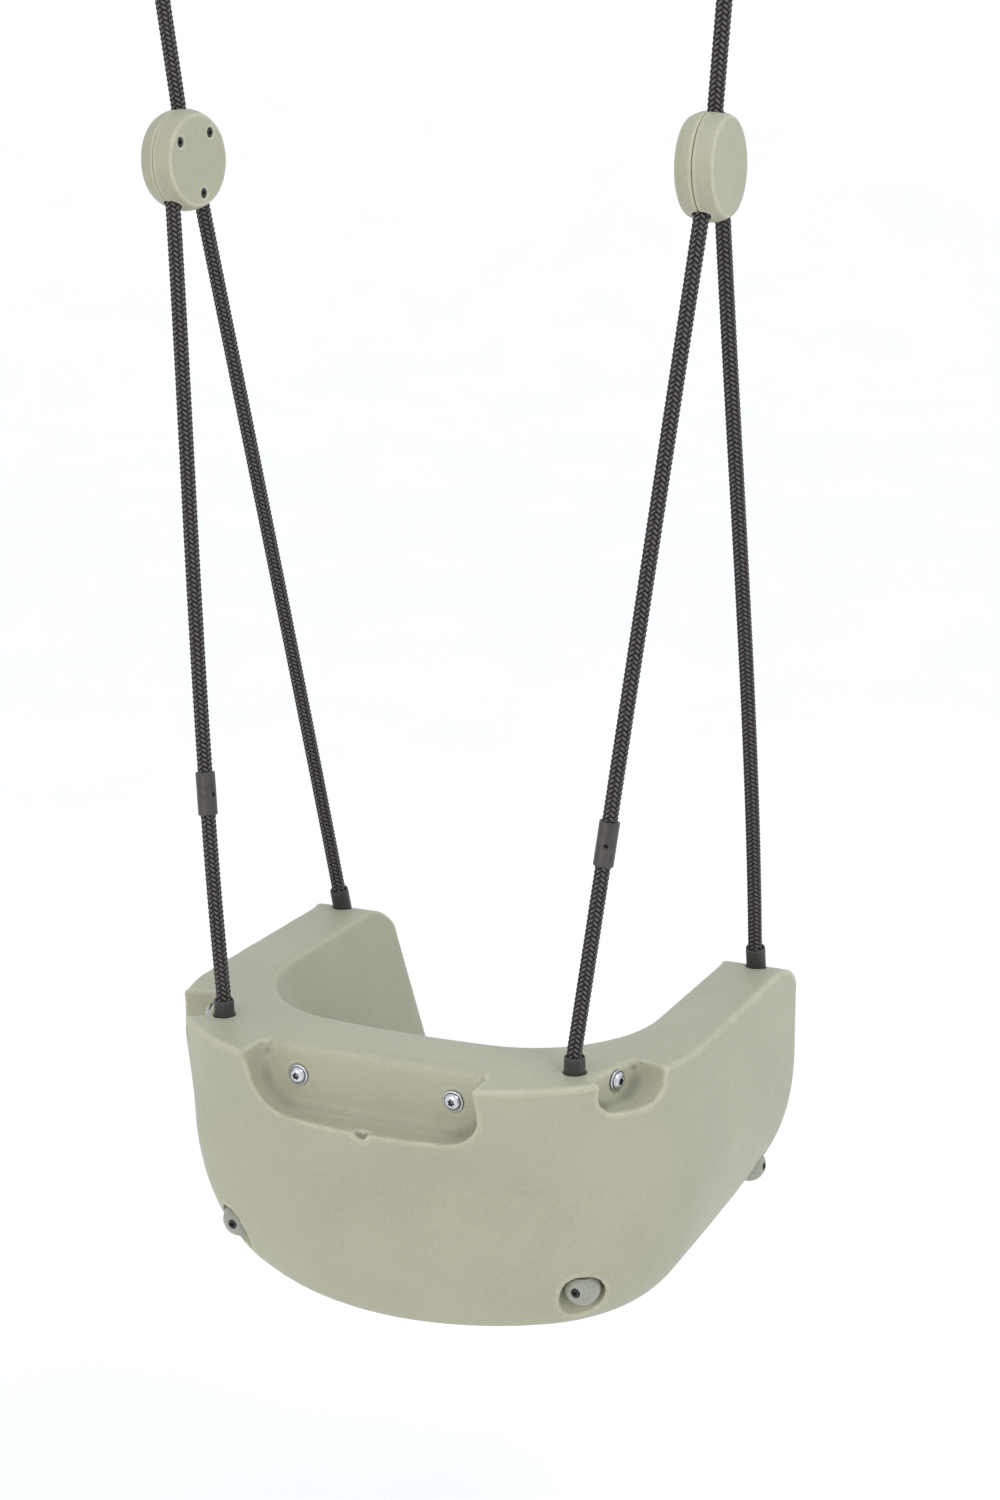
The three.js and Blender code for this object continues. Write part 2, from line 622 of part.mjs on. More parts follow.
// Branch ropes from the discs to the stoppers, with their ferrules, sleeves, stoppers and screws.
for (const way of ropeWays) {
  const { name, side, end, discExit, climb, bends, centre, tail } = way;
  const label = `${name}_${end}`;
  const intoJunction = ROPE_EXITS.below + JUNCTION.bottomZ + JUNCTION.socketDepth;
  const ropeTop = discExit.clone().addScaledVector(climb, intoJunction);
  const freeRun = bowedRun(ropeTop, bends[0], side, end);
  const throughSeat = bentRuns([...bends, centre.clone().addScaledVector(tail, -ROPE_D / 2)], 5);
  addPiece(seat, `${label}_rope`, ropeGeometry([freeRun, ...throughSeat], 26), BRAID);
  addPiece(seat, `${label}_ferrule`, ferrule(way), BLACK_PLASTIC);
  if (end === "back") {
    const share = (ropeTop.z - SLEEVE.aboveSeat) / (ropeTop.z - bends[0].z);
    addPiece(seat, `${label}_rope_sleeve`, ropeSleeve(name, freeRun, share), DARK_METAL);
  }
  const [stopper, screw] = stopperAndScrew(way);
  addPiece(seat, `${label}_stopper`, stopper, CAP_SAGE);
  addPiece(seat, `${label}_stopper_screw`, screw, BLACK_STEEL);
}

// Recess bolts and the threaded inserts that they screw into.
for (const { name, insert, point, out } of boltSeats) {
  const { flangeD, flangeT, domeD, domeH, shankD, shankL, socketD } = BOLT_HEAD;
  const profile = [
    [0, -shankL],
    [shankD / 2, -shankL],
    [shankD / 2, 0],
    [flangeD / 2, 0],
    [flangeD / 2, flangeT * 0.7],
    [domeD / 2 + 0.6, flangeT],
    [domeD / 2 - 0.8, flangeT + domeH * 0.55],
    [domeD / 2 - 3, flangeT + domeH * 0.93],
    [socketD / 2 + 1, flangeT + domeH],
    [0, flangeT + domeH],
  ];
  const base = point.clone().addScaledVector(out, GAP);
  const socketFloor = base.clone().addScaledVector(out, flangeT + domeH - 2.6);
  const socket = bar(socketFloor, socketFloor.clone().addScaledVector(out, 6), socketD, 6);
  addPiece(seat, name, turned(profile, base, out, 12).subtract(socket), ZINC);
  const top = point.clone().addScaledVector(out, -GAP);
  const end = top.clone().addScaledVector(out, -INSERT.length);
  const bore = bar(end.clone().addScaledVector(out, 3), point, INSERT.boreD, 10);
  addPiece(seat, insert, bar(end, top, INSERT.outerD, 10).subtract(bore), BRASS);
}

// Turns a direction or an offset with its disc, as the left disc hangs a little turned about the vertical.
function withDisc(side, offset) {
  return side < 0 ? offset.applyAxisAngle(UP, THREE.MathUtils.degToRad(LEFT_DISC_YAW_DEG)) : offset;
}

// Discs: two halves about a junction block that holds the three rope ends, closed by three screws.
function discHalf(side, outward, centre) {
  const { faceD, faceEdge, ropeHoleD, cavity } = DISC;
  const radius = DISC_D / 2;
  const profile = [[0, GAP / 2], [radius, GAP / 2]];
  const rimSteps = 4;
  for (let i = 1; i <= rimSteps; i++) {
    const share = i / rimSteps;
    const narrowing = (radius - faceD / 2 - faceEdge) * share ** 2;
    profile.push([radius - narrowing, share * (DISC_T / 2 - faceEdge)]);
  }
  profile.push([faceD / 2, DISC_T / 2], [0, DISC_T / 2]);
  const out = withDisc(side, at(side * outward, 0, 0));
  const half = turned(profile, centre, out, 40);
  const room = new THREE.BoxGeometry(...cavity).translate(centre.x, centre.y + 3, centre.z - 2);
  const holes = discRopeLines(side, centre).map(([from, to]) => bar(from, to, ropeHoleD, 10));
  const screws = discScrewPlaces(side, centre).flatMap(({ head, tip, inward }) => {
    const { headD, headT, shankD } = DISC_SCREW;
    const headSeat = head.clone().addScaledVector(inward, headT + GAP);
    const mouth = head.clone().addScaledVector(inward, -3);
    const shankEnd = tip.clone().addScaledVector(inward, 1);
    return [bar(mouth, headSeat, headD + 0.6, 12), bar(head, shankEnd, shankD + 0.6, 8)];
  });
  return cut(half, [solidFrom(room), ...holes, ...screws]);
}

// Lines along which the ropes cross the disc's rim: the main rope at the top and two branch ropes below.
function discRopeLines(side, centre) {
  const mainRope = at(side * MAIN_ROPE_X, centre.y, centre.z);
  const lines = [[mainRope, mainRope.clone().add(at(0, 0, 60))]];
  for (const end of ENDS) {
    const { discExit, climb } = ropeWay(side, end);
    const exit = discExit.clone().add(seat.position);
    lines.push([exit.clone().addScaledVector(climb, 24), exit.clone().addScaledVector(climb, -20)]);
  }
  return lines;
}

function discScrewPlaces(side, centre) {
  const { circleR, places, length } = DISC_SCREW;
  const inward = withDisc(side, at(side, 0, 0)); // from the face that looks at the other disc, into the disc
  return places.map((degrees) => {
    const angle = THREE.MathUtils.degToRad(degrees);
    const face = at(-side * (DISC_T / 2 - 0.5), circleR * Math.cos(angle), circleR * Math.sin(angle));
    const head = centre.clone().add(withDisc(side, face));
    return { head, tip: head.clone().addScaledVector(inward, length), inward };
  });
}

function junctionBlock(side, centre) {
  const { thickness, topHalfY, topZ, waistZ, bottomZ, socketDepth } = JUNCTION;
  const [[waistBack, waistFront], [bottomBack, bottomFront]] = [JUNCTION_Y.waist, JUNCTION_Y.bottom];
  const block = new THREE.Shape();
  block.moveTo(-topHalfY, topZ).lineTo(waistBack, waistZ).lineTo(bottomBack, bottomZ);
  block.lineTo(bottomFront, bottomZ).lineTo(waistFront, waistZ).lineTo(topHalfY, topZ);
  const options = { depth: thickness, bevelEnabled: false };
  const geometry = new THREE.ExtrudeGeometry(block, options).translate(0, 0, -thickness / 2);
  geometry.applyMatrix4(new THREE.Matrix4().makeBasis(at(0, 1, 0), UP, at(1, 0, 0)));
  const offCentre = side * (MAIN_ROPE_X - DISC_X);
  const topSocket = bar(at(offCentre, 0, topZ - socketDepth), at(offCentre, 0, topZ + 5), ROPE_BORE_D, 10);
  const branchSockets = ENDS.map((end) => {
    const { discExit, climb } = ropeWay(side, end);
    const exit = discExit.clone().add(seat.position).sub(centre);
    const reach = ROPE_EXITS.below + bottomZ + socketDepth + GAP;
    const [low, high] = [-10, reach].map((distance) => exit.clone().addScaledVector(climb, distance));
    return bar(low, high, ROPE_BORE_D + 0.4, 10);
  });
  return cut(solidFrom(geometry), [topSocket, ...branchSockets]).translate(centre.toArray());
}

function discScrew({ head, tip, inward }) {
  const { headD, headT, shankD } = DISC_SCREW;
  const under = head.clone().addScaledVector(inward, headT);
  const shank = bar(under.clone().addScaledVector(inward, -0.5), tip, shankD, 8);
  const [driveMouth, driveEnd] = [-2, 1.4].map((depth) => head.clone().addScaledVector(inward, depth));
  return join(bar(head, under, headD, 12), shank).subtract(bar(driveMouth, driveEnd, 3.4, 6));
}

for (const [name, side] of Object.entries(SIDES)) {
  const centre = at(side * DISC_X, DISC_Y, DISC_Z);
  addPiece(hung, `${name}_disc_inner_half`, discHalf(side, -1, centre), SAGE);
  addPiece(hung, `${name}_disc_outer_half`, discHalf(side, 1, centre), SAGE);
  addPiece(hung, `${name}_rope_junction`, junctionBlock(side, centre), ALUMINIUM);
  discScrewPlaces(side, centre).forEach((place, i) => {
    addPiece(hung, `${name}_disc_screw_${i + 1}`, discScrew(place), BLACK_STEEL);
  });
}

// ---- main ropes and hangers ----
// The rope's eye turns about the hanger's pin, with a bush between them.
function ropeEye(pivot) {
  const { ringD, ringT, neckD, neckL, socketTop } = EYE;
  const across = (half) => [pivot.clone().add(at(-half, 0, 0)), pivot.clone().add(at(half, 0, 0))];
  const below = (distance) => pivot.clone().add(at(0, 0, -distance));
  const body = join(bar(...across(ringT / 2), ringD, 18), bar(below(neckL), below(ringD / 3), neckD, 12));
  const bushHole = bar(...across(20), BUSH.outerD + 2 * GAP, 14);
  const eye = cut(body, [bushHole, bar(below(neckL + 5), below(socketTop), ROPE_BORE_D + 0.8, 10)]);
  const pinHole = bar(...across(20), PIN.shankD + 2 * GAP, 12);
  return [eye, bar(...across(BUSH.length / 2), BUSH.outerD, 14).subtract(pinHole)];
}

// The pin and its nut; the pin's head is on the outer side.
function pinAndNut(pivot, side) {
  const along = (distance) => pivot.clone().add(at(side * distance, 0, 0));
  const cheekFace = HANGER.cheekGap / 2 + HANGER.cheekT + GAP;
  const pin = join(
    bar(along(cheekFace), along(cheekFace + PIN.headT), PIN.headD, 6),
    bar(along(-cheekFace - PIN.over), along(cheekFace + 1), PIN.shankD, 12),
  );
  const nutD = NUT.acrossFlats / Math.cos(Math.PI / 6);
  const nut = bar(along(-cheekFace - NUT.thickness), along(-cheekFace), nutD, 6);
  return [pin, nut.subtract(bar(along(-cheekFace - 20), along(0), PIN.shankD + 2 * GAP, 12))];
}

// Ceiling bracket: a plate with two bolt holes and two cheeks that carry the pin.
function hangerBracket(pivot) {
  const { plateX, plateY, plateT, cheekGap, cheekT, cheekHalfY, boltY, boltD } = HANGER;
  const plate = new THREE.BoxGeometry(plateX, plateY, plateT).translate(pivot.x, 0, -plateT / 2);
  const cheekTop = -PIVOT_Z - plateT / 2;
  const cheek = new THREE.Shape();
  cheek.moveTo(cheekHalfY, cheekTop).lineTo(-cheekHalfY, cheekTop).lineTo(-cheekHalfY, 0);
  cheek.absarc(0, 0, cheekHalfY, Math.PI, 2 * Math.PI, false);
  const upright = new THREE.Matrix4().makeBasis(at(0, 1, 0), UP, at(1, 0, 0));
  const cheeks = [cheekGap / 2, -cheekGap / 2 - cheekT].map((x) => {
    const options = { depth: cheekT, bevelEnabled: false, curveSegments: 6 };
    const geometry = new THREE.ExtrudeGeometry(cheek, options);
    return solidFrom(geometry.applyMatrix4(upright).translate(pivot.x + x, 0, pivot.z));
  });
  const boltHoles = [-boltY, boltY].map((y) => bar(at(pivot.x, y, -20), at(pivot.x, y, 10), boltD, 12));
  const [left, right] = [-40, 40].map((x) => at(pivot.x + x, 0, pivot.z));
  return cut(join(solidFrom(plate), ...cheeks), [...boltHoles, bar(left, right, PIN.shankD + 2 * GAP, 12)]);
}

for (const [name, side] of Object.entries(SIDES)) {
  // The main rope flexes where it enters the disc, so its clamped end below that point is a piece of its own.
  const rim = DISC_Z + DISC_D / 2;
  const atMainRope = (z) => at(side * MAIN_ROPE_X, DISC_Y, z);
  const socketFloor = DISC_Z + JUNCTION.topZ - JUNCTION.socketDepth;
  const ropeEnd = barGeometry(atMainRope(socketFloor + GAP), atMainRope(rim - 3.5), ROPE_D, ROPE_SIDES);
  addPiece(hung, `${name}_main_rope_end`, ropeEnd, BRAID);
  const pivot = at(side * PIVOT_X, 0, PIVOT_Z);
  const below = (distance) => pivot.clone().add(at(0, 0, -distance));
  const route = [below(EYE.socketTop + GAP), below(EYE.neckL + 5), atMainRope(rim + 1)];
  addPiece(hung, `${name}_main_rope`, ropeGeometry(bentRuns(route, 4), 8), BRAID);

  const [eye, bush] = ropeEye(pivot);
  const [pin, nut] = pinAndNut(pivot, side);
  addPiece(hung, `${name}_rope_eye`, eye, ALUMINIUM);
  addPiece(hung, `${name}_eye_bush`, bush, NYLON);
  addPiece(swing, `${name}_hanger`, hangerBracket(pivot), ZINC);
  addPiece(swing, `${name}_hanger_pin`, pin, ZINC);
  addPiece(swing, `${name}_hanger_nut`, nut, ZINC);
}

export default swing;
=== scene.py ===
"""Looks of the toddler bucket swing: its camera, ropes, moulded pieces, fittings, materials and light."""

import json
import math

import bmesh
import bpy
import numpy as np
from mathutils import Matrix, Vector, kdtree
from mathutils.bvhtree import BVHTree

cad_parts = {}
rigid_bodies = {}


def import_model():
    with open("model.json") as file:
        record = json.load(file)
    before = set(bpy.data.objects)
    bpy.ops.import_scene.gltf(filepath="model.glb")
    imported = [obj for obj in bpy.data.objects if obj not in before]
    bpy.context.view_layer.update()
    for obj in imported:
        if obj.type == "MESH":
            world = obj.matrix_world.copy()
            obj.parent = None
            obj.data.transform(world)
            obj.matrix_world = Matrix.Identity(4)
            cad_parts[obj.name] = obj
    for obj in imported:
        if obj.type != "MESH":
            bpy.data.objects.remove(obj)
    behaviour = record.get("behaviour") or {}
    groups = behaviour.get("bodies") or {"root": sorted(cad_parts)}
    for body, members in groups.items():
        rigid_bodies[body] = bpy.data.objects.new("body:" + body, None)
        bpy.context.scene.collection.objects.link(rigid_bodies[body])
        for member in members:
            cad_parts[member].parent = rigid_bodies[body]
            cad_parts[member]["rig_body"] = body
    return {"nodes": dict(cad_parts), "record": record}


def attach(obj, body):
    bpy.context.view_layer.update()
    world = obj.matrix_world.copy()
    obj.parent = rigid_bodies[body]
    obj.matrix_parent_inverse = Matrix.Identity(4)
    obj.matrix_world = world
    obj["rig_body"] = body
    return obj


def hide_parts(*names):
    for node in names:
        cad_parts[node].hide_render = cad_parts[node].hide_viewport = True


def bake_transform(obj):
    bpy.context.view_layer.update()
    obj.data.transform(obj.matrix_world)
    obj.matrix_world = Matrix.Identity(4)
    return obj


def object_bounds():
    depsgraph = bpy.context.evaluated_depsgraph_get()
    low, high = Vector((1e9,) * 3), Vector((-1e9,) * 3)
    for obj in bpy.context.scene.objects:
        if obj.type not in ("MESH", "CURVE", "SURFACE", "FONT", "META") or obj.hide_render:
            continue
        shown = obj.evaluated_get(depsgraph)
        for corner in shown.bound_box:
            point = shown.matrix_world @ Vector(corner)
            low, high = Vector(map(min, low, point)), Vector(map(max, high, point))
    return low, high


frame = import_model()
cad_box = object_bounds()

MM = 0.001
SIDES = {"left": -1, "right": 1}
ENDS = ("back", "front")

# ---- the ropes' routes, in millimetres ----
SEAT_AT = Vector((0, 48, -973))  # middle of the seat's top face
DISC_AT = Vector((236, 5, -258))
MAIN_ROPE_X = 239
PIVOT_AT = Vector((249, 0, -48))
HANG_TILT_DEG = -2.04  # all that hangs is turned about the hanger pins, so that it balances
ROPE_EXIT_Y = {"back": -20, "front": 26}  # from the disc's centre
ROPE_EXIT_BELOW = 37
INTO_DISC = 29
ENTRY = {"back": Vector((165, -148, 0)), "front": Vector((212, 152, 0))}  # from SEAT_AT
STRAIGHT_Z = {"back": (18, -16), "front": (26, -26)}  # the straight run through the ferrule
STOPPER = {"back": Vector((165, -134, -197)), "front": Vector((208, 151, -194))}  # from SEAT_AT
PAST_STOPPER_CENTRE = 6
ROPE_BOW = {"back": Vector((4, -9, 0)), "front": Vector((4, 9, 0))}
BRANCH_BEND_REACH = 5
MAIN_ROPE_TOP, MAIN_ROPE_LEANS = -26, -67  # from the pivot: its end in the eye, and where it starts to lean
DISC_ENTRY_ABOVE, DISC_END_ABOVE = 43, 6  # from the disc's centre
MAIN_BEND_REACH = 4

# ---- braid, in millimetres ----
STRANDS = 8  # each way round
BRAID_PITCH = 33
BRAID_RADIUS = 5.0
BRAID_LIFT = 0.65  # how far a strand rises and dips about BRAID_RADIUS
STRAND_HALF_WIDTH, STRAND_HALF_THICKNESS = 1.4, 0.95
STRAND_SIDES = 6
STRAND_SHIFT = 0.37  # metres along the rope by which each strand's fibres are set off from the last one's
CROWN_HIGHLIGHT_GAIN = 1.8  # widens the lit crowns of the strands
BRAID_STEP = 1.15
CORE_RADIUS = 4.4
CORE_SIDES = 12
CORE_STRIDE = 4  # braid steps between the core's rings


def placed(name, data):
    """A new object in the scene."""
    obj = bpy.data.objects.new(name, data)
    bpy.context.scene.collection.objects.link(obj)
    return obj


# ---- camera ----
CAMERA_AT = (0.9917, -1.9783, -0.0788)
CAMERA_AZIMUTH_DEG, CAMERA_ELEVATION_DEG, CAMERA_ROLL_DEG = 25.648, 16.932, -1.571
CAMERA_LENS_MM, CAMERA_SENSOR_MM = 64.8, 36
CAMERA_CLIP = (0.05, 50)


def add_camera():
    """A camera that looks down at the back of the swing from its right."""
    angles = (CAMERA_AZIMUTH_DEG, CAMERA_ELEVATION_DEG, CAMERA_ROLL_DEG)
    azimuth, elevation, roll = (math.radians(angle) for angle in angles)
    camera = placed("camera", bpy.data.cameras.new("camera"))
    camera.data.lens, camera.data.sensor_width = CAMERA_LENS_MM, CAMERA_SENSOR_MM
    camera.data.clip_start, camera.data.clip_end = CAMERA_CLIP
    look = Vector((-math.sin(azimuth) * math.cos(elevation), math.cos(azimuth) * math.cos(elevation),
                   -math.sin(elevation)))
    level_right = Vector((math.cos(azimuth), math.sin(azimuth), 0))
    level_up = level_right.cross(look)
    right = math.cos(roll) * level_right + math.sin(roll) * level_up
    up = math.cos(roll) * level_up - math.sin(roll) * level_right
    turn = Matrix((right, up, -look)).transposed().to_4x4()
    camera.matrix_world = Matrix.Translation(CAMERA_AT) @ turn
    bpy.context.scene.camera = camera


# ---- materials ----
# These point attributes carry painted light: highlights and shade on the moulded pieces' edges and corners,
# highlights on the braid's strands, shade in the screws' sockets and grooves.
PAINTED_RELIEF_LIGHT, CROWN_HIGHLIGHT, GROOVE = "relief", "crown_highlight", "groove"  # names of the meshes' point attributes
# Colour of the painted shade in the screws' sockets and grooves.
GROOVE_SHADE = (0.012, 0.012, 0.014)
# Painted highlight on the plastic's edges and painted shade in its corners, as scales of its colour.
EDGE_HIGHLIGHT_TINT, CORNER_SHADE_TINT = 1.5, 0.45  # how the plastic's colour scales on edges and in corners


class Look:
    """A node material under construction: one Principled shader with helpers for its procedural inputs."""

    def __init__(self, name, roughness=0.5, metallic=0.0, specular=0.5, **shader):
        self.material = bpy.data.materials.new(name)
        self.material.use_nodes = True
        self.tree = self.material.node_tree
        self.shader = self.tree.nodes["Principled BSDF"]
        values = {"Roughness": roughness, "Metallic": metallic, "Specular IOR Level": specular, **shader}
        for socket, value in values.items():
            self.shader.inputs[socket].default_value = value

    def node(self, kind, **inputs):
        made = self.tree.nodes.new(kind)
        for name, value in inputs.items():
            self.feed(made.inputs[name], value)
        return made

    def feed(self, socket, value):
        if isinstance(value, bpy.types.NodeSocket):
            self.tree.links.new(value, socket)
        else:
            socket.default_value = value

    def noise(self, scale, detail, roughness=0.55, vector=None):
        place = vector or self.node("ShaderNodeTexCoord").outputs["Object"]
        return self.node("ShaderNodeTexNoise", Vector=place, Scale=scale, Detail=detail,
                         Roughness=roughness).outputs["Fac"]

    def attribute(self, name):
        """A number stored on each of the mesh's points, or 0 on a mesh without it."""
        made = self.node("ShaderNodeAttribute")
        made.attribute_name = name
        return made.outputs["Fac"]

    def ramp(self, factor, *stops):
        """Maps factor through (position, colour) stops; a colour is a number or an rgb triple."""
        ramp = self.node("ShaderNodeValToRGB", Fac=factor)
        elements = ramp.color_ramp.elements
        while len(elements) < len(stops):
            elements.new(0.5)
        for element, (position, colour) in zip(elements, stops):
            rgb = (colour,) * 3 if isinstance(colour, (int, float)) else colour
            element.position, element.color = position, (*rgb, 1)
        return ramp.outputs["Color"]

    def maths(self, operation, a, b):
        made = self.node("ShaderNodeMath")
        made.operation = operation
        self.feed(made.inputs[0], a)
        self.feed(made.inputs[1], b)
        return made.outputs[0]

    def mix(self, a, b, factor):
        made = self.tree.nodes.new("ShaderNodeMix")
        made.data_type = "RGBA"
        self.feed(made.inputs["Factor"], factor)
        colour_a, colour_b, mixed = made.inputs[6], made.inputs[7], made.outputs[2]  # the sockets for colours
        for socket, value in ((colour_a, a), (colour_b, b)):
            self.feed(socket, value if isinstance(value, bpy.types.NodeSocket) else (*value, 1))
        return mixed

    def bump(self, height, distance, strength, below=None):
        made = self.node("ShaderNodeBump", Height=height, Distance=distance, Strength=strength)
        if below is not None:
            self.feed(made.inputs["Normal"], below)
        return made.outputs["Normal"]

    def finish(self, colour=None, roughness=None, normal=None):
        for name, socket in (("Base Color", colour), ("Roughness", roughness), ("Normal", normal)):
            if socket is not None:
                self.feed(self.shader.inputs[name], socket)
        return self.material


def moulded_plastic(name, dark, light, roughness, grain):
    """Matt moulded plastic: cloudy colour, a fine grain, a painted highlight on its edges and painted shade
    in its corners.
    """
    look = Look(name, specular=0.4)
    cloud, speck = look.noise(scale=9, detail=4), look.noise(scale=620, detail=3, roughness=0.65)
    tone = look.maths("ADD", look.maths("MULTIPLY", cloud, 0.4), look.maths("MULTIPLY", speck, 0.6))
    colour = look.ramp(tone, (0.38, dark), (0.62, light))
    relief = look.attribute(PAINTED_RELIEF_LIGHT)
    # A painted highlight on edges, broken up by noise, and painted shade in corners.
    highlight_patches = look.ramp(look.noise(scale=70, detail=4), (0.35, 0.5), (0.6, 1))
    edge = look.maths("MAXIMUM", look.maths("MULTIPLY", relief, highlight_patches), 0)
    corner = look.maths("MAXIMUM", look.maths("MULTIPLY", relief, -1), 0)
    colour = look.mix(colour, tuple(EDGE_HIGHLIGHT_TINT * c for c in light), edge)
    colour = look.mix(colour, tuple(CORNER_SHADE_TINT * c for c in dark), corner)
    shine = look.ramp(look.noise(scale=120, detail=3), (0.3, roughness - 0.05), (0.7, roughness + 0.05))
    waves = look.bump(look.noise(scale=45, detail=2), distance=0.0006, strength=0.25)
    normal = look.bump(speck, distance=grain, strength=0.7, below=waves)
    return look.finish(colour, shine, normal)


def braided_yarn(name):
    """Dark polyester yarn: fibres that run along each strand, with a soft shine, painted highlights on the
    strands' raised crowns and painted shade between them and on the core.
    """
    look = Look(name, specular=0.15)
    uv = look.node("ShaderNodeTexCoord").outputs["UV"]
    stretched = look.node("ShaderNodeMapping", Vector=uv, Scale=(1.0, 0.06, 1.0)).outputs["Vector"]
    fibres = look.noise(scale=16, detail=2, roughness=0.6, vector=stretched)
    # Painted highlight on the raised outer crowns of the strands.
    crown_highlight = look.maths("MULTIPLY", look.attribute(CROWN_HIGHLIGHT), 0.7)
    tone = look.maths("ADD", crown_highlight, look.maths("MULTIPLY", fibres, 0.5))
    # The darkest colour is painted shade between the strands and on the core; the lightest is a painted
    # highlight.
    gap_shade, yarn, highlight = (0.007, 0.0055, 0.005), (0.050, 0.042, 0.041), (0.175, 0.158, 0.158)
    colour = look.ramp(tone, (0.2, gap_shade), (0.62, yarn), (1.0, highlight))
    shine = look.ramp(fibres, (0.3, 0.6), (0.75, 0.42))
    return look.finish(colour, shine, look.bump(fibres, distance=0.00025, strength=0.8))


def metal(name, dark, light, roughness, scratch=0.00004, metallic=1.0):
    """Plated, turned or cast metal with fine scratches, cloudy tarnish and painted shade in its grooves."""
    look = Look(name, metallic=metallic)
    tarnish = look.ramp(look.noise(scale=160, detail=4), (0.3, dark), (0.7, light))
    # Painted shade in the screws' sockets and grooves.
    colour = look.mix(tarnish, GROOVE_SHADE, look.attribute(GROOVE))
    shine = look.ramp(look.noise(scale=700, detail=3), (0.3, roughness - 0.06), (0.7, roughness + 0.08))
    scratches = look.bump(look.noise(scale=2200, detail=2), distance=scratch, strength=0.5)
    return look.finish(colour, shine, scratches)


LOOKS = {
    "sage_plastic": moulded_plastic("sage", (0.350, 0.334, 0.240), (0.415, 0.396, 0.288), 0.52, 0.0003),
    "cap_plastic": moulded_plastic("cap_sage", (0.250, 0.255, 0.205), (0.290, 0.292, 0.238), 0.42, 0.00003),
    "black_plastic": moulded_plastic("nylon", (0.03, 0.027, 0.025), (0.045, 0.04, 0.038), 0.48, 0.00004),
    "nylon": moulded_plastic("natural_nylon", (0.66, 0.63, 0.55), (0.74, 0.71, 0.64), 0.45, 0.00003),
    "braid": braided_yarn("yarn"),
    "dark_metal": metal("anodised", (0.075, 0.068, 0.064), (0.105, 0.096, 0.090), 0.42, metallic=0.85),
    "zinc_steel": metal("zinc", (0.50, 0.51, 0.53), (0.74, 0.75, 0.77), 0.24),
    "black_steel": metal("black_oxide", (0.030, 0.030, 0.032), (0.055, 0.054, 0.054), 0.38, metallic=0.7),
    "brass": metal("brass", (0.50, 0.36, 0.14), (0.62, 0.46, 0.20), 0.3),
    "aluminium": metal("cast_aluminium", (0.42, 0.43, 0.44), (0.56, 0.57, 0.58), 0.42, 0.0001),
}
SLOT_OF = {part["node"]: part["material_slot"] for part in frame["record"]["subparts"]}


# ---- meshes ----
def store(mesh, label, values):
    """Stores one number for each of the mesh's points."""
    mesh.attributes.new(label, "FLOAT", "POINT").data.foreach_set("value", np.asarray(values, np.float32))


def add_mesh(name, points, faces, slot, attributes, uvs=None):
    """A smooth-shaded mesh object; uvs holds one pair for each point, and each attribute one number."""
    mesh = bpy.data.meshes.new(name)
    mesh.from_pydata(points, [], faces)
    if uvs is not None:
        corners = np.empty(len(mesh.loops), np.int32)
        mesh.loops.foreach_get("vertex_index", corners)
        mesh.uv_layers.new(name="along").data.foreach_set("uv", np.asarray(uvs, np.float32)[corners].ravel())
    for label, values in attributes.items():
        store(mesh, label, values)
    mesh.materials.append(LOOKS[slot])
    mesh.shade_smooth()
    obj = placed(name, mesh)
    return obj


def grid_faces(rows, columns, first=0):
    """Quads of a tube of rows rings, each of columns points."""
    row, column = np.meshgrid(np.arange(rows - 1), np.arange(columns), indexing="ij")
    across = (column + 1) % columns
    quads = [row * columns + column, row * columns + across, (row + 1) * columns + across,
             (row + 1) * columns + column]
    return first + np.stack([q.ravel() for q in quads], axis=1)


# ---- ropes ----
STRAIGHT_STEPS, BEND_CURVE_STEPS, FREE_STEPS = 20, 8, 60
PIN_LINE = Vector((0, 0, PIVOT_AT.z))
HANG_TURN = Matrix.Rotation(math.radians(HANG_TILT_DEG), 3, "X")


def hung(points):
    """Points given in millimetres with the seat level, as they hang, in metres."""
    return ((np.array(points) - PIN_LINE) @ np.array(HANG_TURN).T + PIN_LINE) * MM


def bezier(points, count):
    """count points along a curve of degree 2 or 3, without its last point."""
    t = np.linspace(0, 1, count, endpoint=False)[:, None]
    degree = len(points) - 1
    shares = [math.comb(degree, i) * (1 - t) ** (degree - i) * t**i for i in range(degree + 1)]
    return sum(share * np.array(point) for share, point in zip(shares, points))


def rounded_route(points, reach):
    """Straight runs through the points, with a short bend of the given reach at each inner one."""
    route, start = [], points[0]
    for before, bend, after in zip(points, points[1:], points[2:]):
        into, out = bend + (before - bend).normalized() * reach, bend + (after - bend).normalized() * reach
        route += [bezier([start, into], STRAIGHT_STEPS), bezier([into, bend, out], BEND_CURVE_STEPS)]
        start = out
    return np.vstack([*route, bezier([start, points[-1]], STRAIGHT_STEPS), [points[-1]]])


